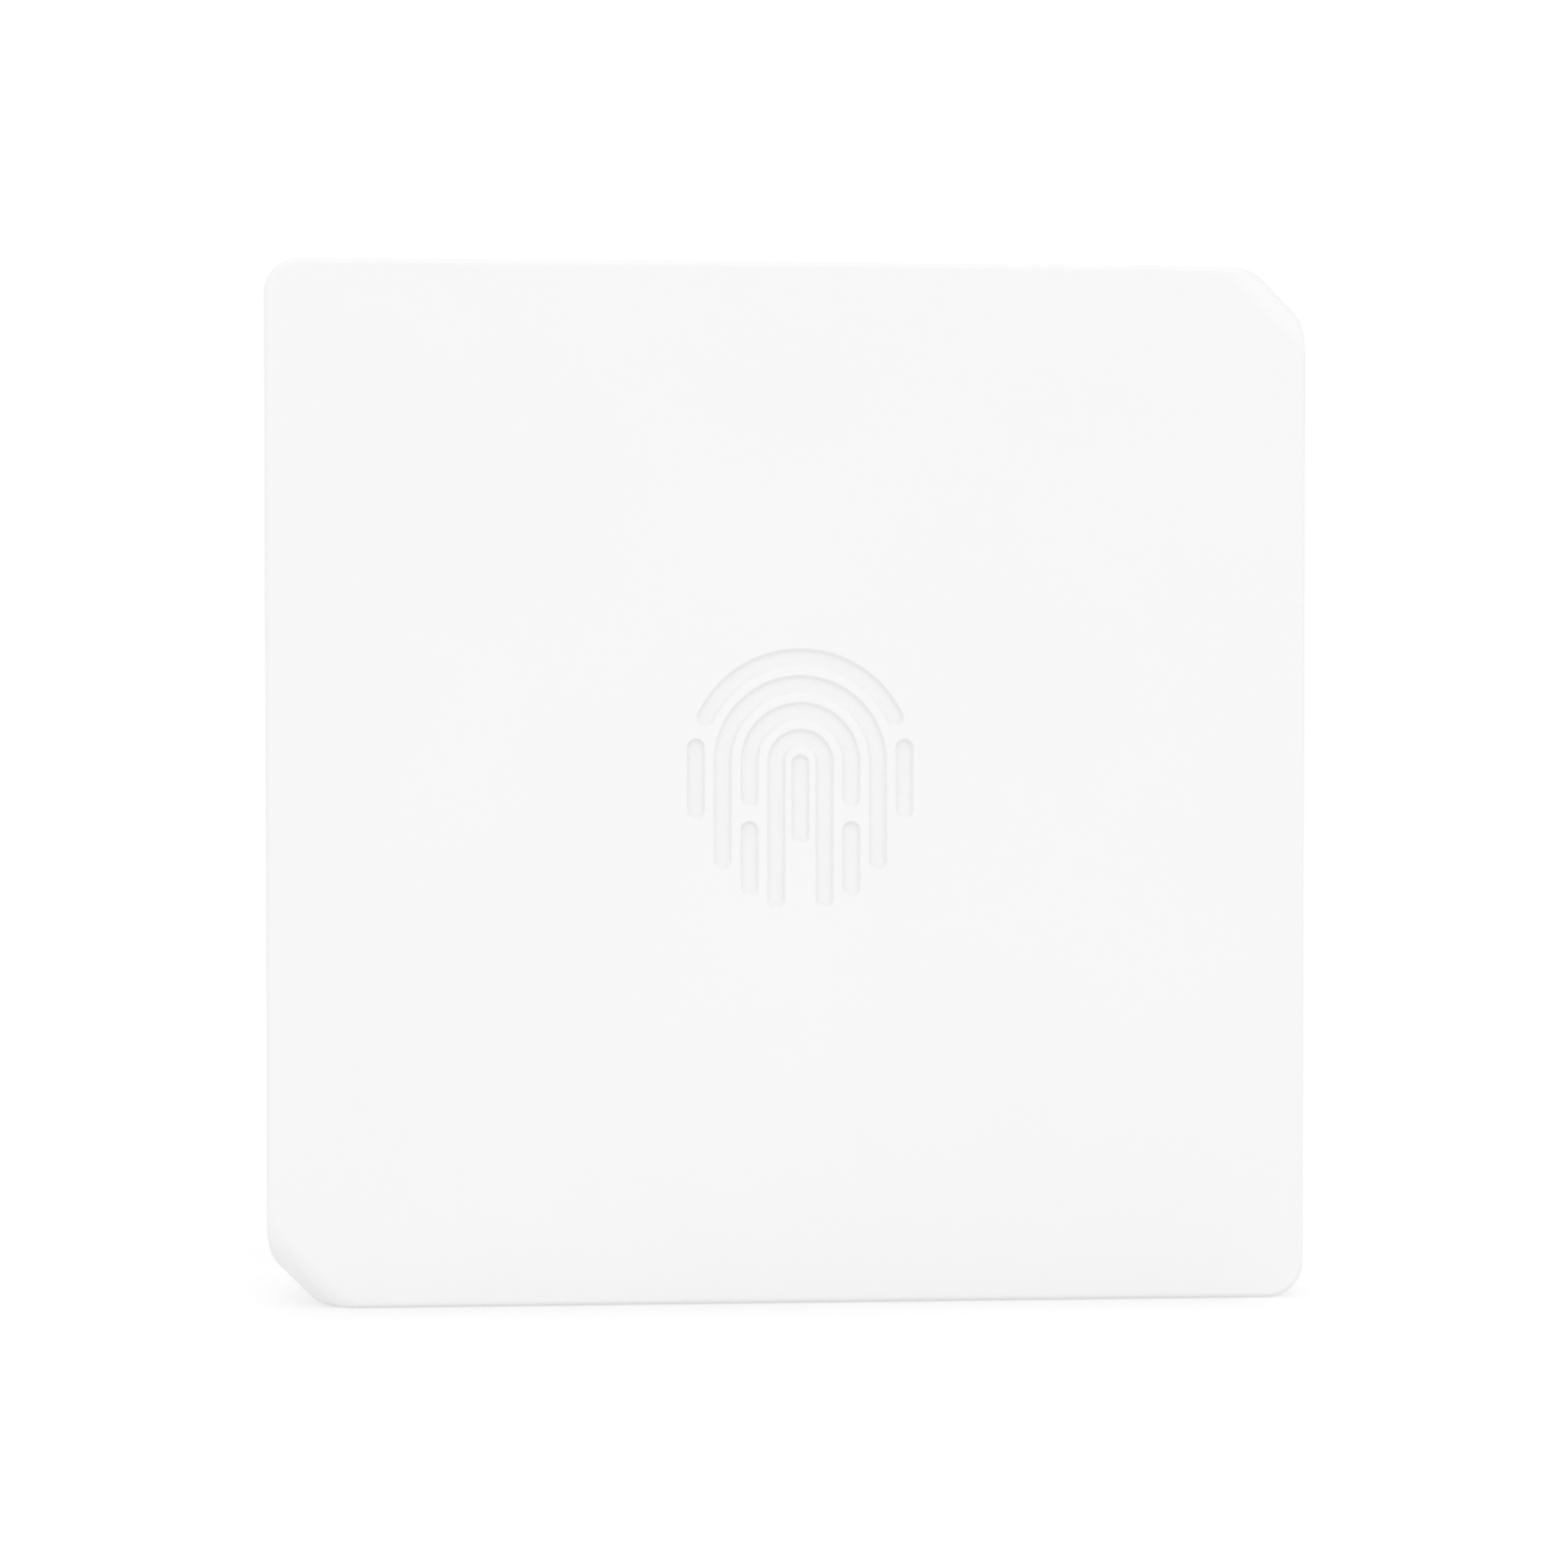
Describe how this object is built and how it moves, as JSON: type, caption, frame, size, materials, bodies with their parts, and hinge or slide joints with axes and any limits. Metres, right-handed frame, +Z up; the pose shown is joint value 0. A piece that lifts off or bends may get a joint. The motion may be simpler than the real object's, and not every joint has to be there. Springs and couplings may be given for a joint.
{
  "type": "rfid card reader",
  "caption": "Square wall-mounted proximity card reader with a recessed touch symbol, hooked on a steel wall plate and held by a lock screw.",
  "frame": {"origin": "middle of the lower edge, at the bottom of the box that holds the whole reader", "axes": "+X to the right seen from the front, +Z up, the reading face looks along -Y and the wall is on the +Y side"},
  "size_m": [0.086, 0.0196, 0.086],
  "materials": {
    "cover_plastic": "fine matte moulded white plastic",
    "housing_plastic": "matte moulded off-white plastic",
    "seal_rubber": "matte black rubber",
    "clear_plastic": "frosted clear moulding",
    "board_laminate": "green solder mask, satin",
    "copper": "bare and enamelled copper",
    "ferrite": "dark grey ferrite, matte",
    "spring_steel": "bright spring wire",
    "chip_epoxy": "black moulded epoxy, fine matte",
    "white_plastic": "white moulded plastic, satin",
    "plated_can": "tin-plated can, satin",
    "terminal_plastic": "green moulded plastic",
    "switch_plastic": "red moulded plastic, satin",
    "black_plastic": "black moulded plastic",
    "plate_steel": "zinc-plated sheet steel",
    "screw_steel": "zinc-plated steel",
    "brass": "turned brass"
  },
  "bodies": {
    "housing": {"cover_seal": "seal_rubber", "rear_housing": "housing_plastic", "main_board": "board_laminate", "antenna_coil": "copper", "ferrite_sheet": "ferrite", "touch_spring": "spring_steel", "microcontroller": "chip_epoxy", "reader_chip": "chip_epoxy", "crystal": "plated_can", "buzzer": "black_plastic", "power_inductor": "ferrite", "filter_capacitor_1": "plated_can", "filter_capacitor_2": "plated_can", "terminal_block": "terminal_plastic", "dip_switch": "switch_plastic", "program_switch": "plated_can", "tamper_switch": "black_plastic", "tamper_spring": "spring_steel", "lock_insert": "brass", "status_led_1": "white_plastic", "cover_screw_1": "screw_steel", "board_screw_1": "screw_steel", "status_led_2": "white_plastic", "cover_screw_2": "screw_steel", "board_screw_2": "screw_steel", "status_led_3": "white_plastic", "cover_screw_3": "screw_steel", "board_screw_3": "screw_steel", "status_led_4": "white_plastic", "cover_screw_4": "screw_steel", "board_screw_4": "screw_steel", "terminal_screw_1": "screw_steel", "terminal_screw_2": "screw_steel", "terminal_screw_3": "screw_steel", "terminal_screw_4": "screw_steel", "terminal_screw_5": "screw_steel", "terminal_screw_6": "screw_steel"},
    "cover": {"front_cover": "cover_plastic", "light_guide": "clear_plastic", "touch_electrode": "copper"},
    "wall_plate": {"mounting_plate": "plate_steel"},
    "tamper": {"tamper_plunger": "white_plastic"},
    "program": {"program_button": "black_plastic"},
    "lock": {"lock_screw": "screw_steel"},
    "slider_1": {"dip_slider_1": "white_plastic"},
    "slider_2": {"dip_slider_2": "white_plastic"},
    "slider_3": {"dip_slider_3": "white_plastic"},
    "slider_4": {"dip_slider_4": "white_plastic"}
  },
  "joints": [
    {"name": "cover_release", "type": "slide", "parent": "housing", "child": "cover", "axis": [0, -1, 0], "range_m": [0, 0.028]},
    {"name": "plate_unhook", "type": "hinge", "parent": "housing", "child": "wall_plate", "pos_m": [0, 0.00605, 0.0804], "axis": [1, 0, 0], "range_deg": [0, 20]},
    {"name": "tamper_travel", "type": "slide", "parent": "housing", "child": "tamper", "axis": [0, -1, 0], "range_m": [0, 0.002], "stiffness_N_per_m": 150, "springref_m": -0.002, "deforming": ["tamper_spring"]},
    {"name": "program_press", "type": "slide", "parent": "housing", "child": "program", "axis": [0, -1, 0], "range_m": [0, 0.00035], "stiffness_N_per_m": 800, "springref_m": -0.0005},
    {"name": "lock_screw_turn", "type": "hinge", "parent": "housing", "child": "lock", "pos_m": [0, 0.00345, 0], "axis": [0, 0, 1], "continuous": true},
    {"name": "dip_slide_1", "type": "slide", "parent": "housing", "child": "slider_1", "axis": [0, 0, 1], "range_m": [0, 0.0013]},
    {"name": "dip_slide_2", "type": "slide", "parent": "housing", "child": "slider_2", "axis": [0, 0, 1], "range_m": [0, 0.0013]},
    {"name": "dip_slide_3", "type": "slide", "parent": "housing", "child": "slider_3", "axis": [0, 0, 1], "range_m": [0, 0.0013]},
    {"name": "dip_slide_4", "type": "slide", "parent": "housing", "child": "slider_4", "axis": [0, 0, 1], "range_m": [0, 0.0013]}
  ]
}
